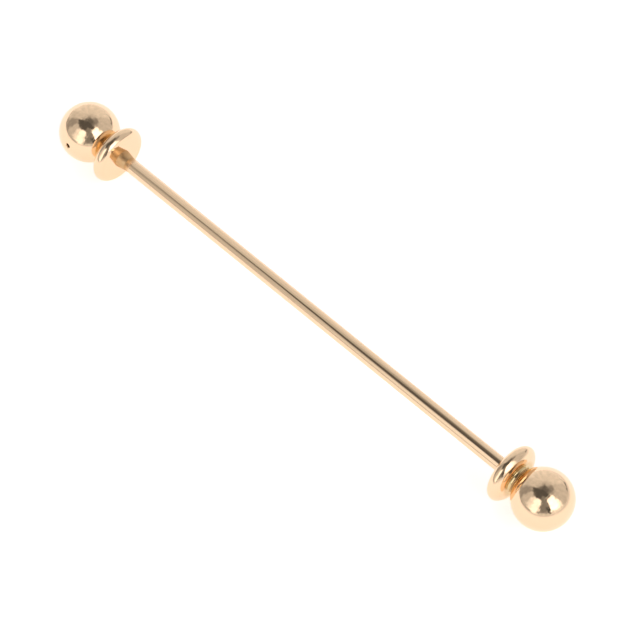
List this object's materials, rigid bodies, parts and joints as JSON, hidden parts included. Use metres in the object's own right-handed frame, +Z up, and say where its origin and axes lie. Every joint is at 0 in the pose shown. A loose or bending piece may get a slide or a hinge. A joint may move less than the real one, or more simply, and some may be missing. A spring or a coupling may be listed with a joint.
{
  "type": "barbell collar bar",
  "caption": "Straight gold-plated collar bar: a wire with a ball and a flange at each end, one end screwing off to pass a shirt collar's eyelets.",
  "frame": {"origin": "on the bar's axis, halfway along the whole object (the centre of its bounding box)", "axes": "+X along the bar towards the end that screws off; +Z up; the fixed ball's vent hole is on the -Y side, 11 degrees above level"},
  "size_m": [0.0612, 0.0056, 0.0056],
  "materials": {
    "polished_gold_plate": "turned brass, polished and plated with pale yellow gold, with faint turning lines",
    "drawn_gold_plate": "drawn brass wire plated with pale yellow gold, with fine lengthwise drawing lines",
    "plated_solder": "solder under the same gold plating, slightly uneven and satin"
  },
  "bodies": {
    "bar": {"bar": "drawn_gold_plate", "fixed_end_ball": "polished_gold_plate", "fixed_end_neck_solder": "plated_solder", "fixed_end_flange": "polished_gold_plate", "fixed_end_bar_solder": "plated_solder"},
    "screw_travel": {"screw_end_neck_solder": "plated_solder"},
    "screw_end": {"screw_end_ball": "polished_gold_plate", "screw_end_flange": "polished_gold_plate"}
  },
  "joints": [
    {"name": "unscrew_travel", "type": "slide", "parent": "bar", "child": "screw_travel", "axis": [1, 0, 0], "range_m": [0, 0.003]},
    {"name": "unscrew_turn", "type": "hinge", "parent": "screw_travel", "child": "screw_end", "pos_m": [0, 0, 0], "axis": [1, 0, 0], "range_deg": [0, 4320]}
  ],
  "couplings": [
    {"joint": "unscrew_turn", "follows": "unscrew_travel", "rad_per_m": 25133}
  ]
}
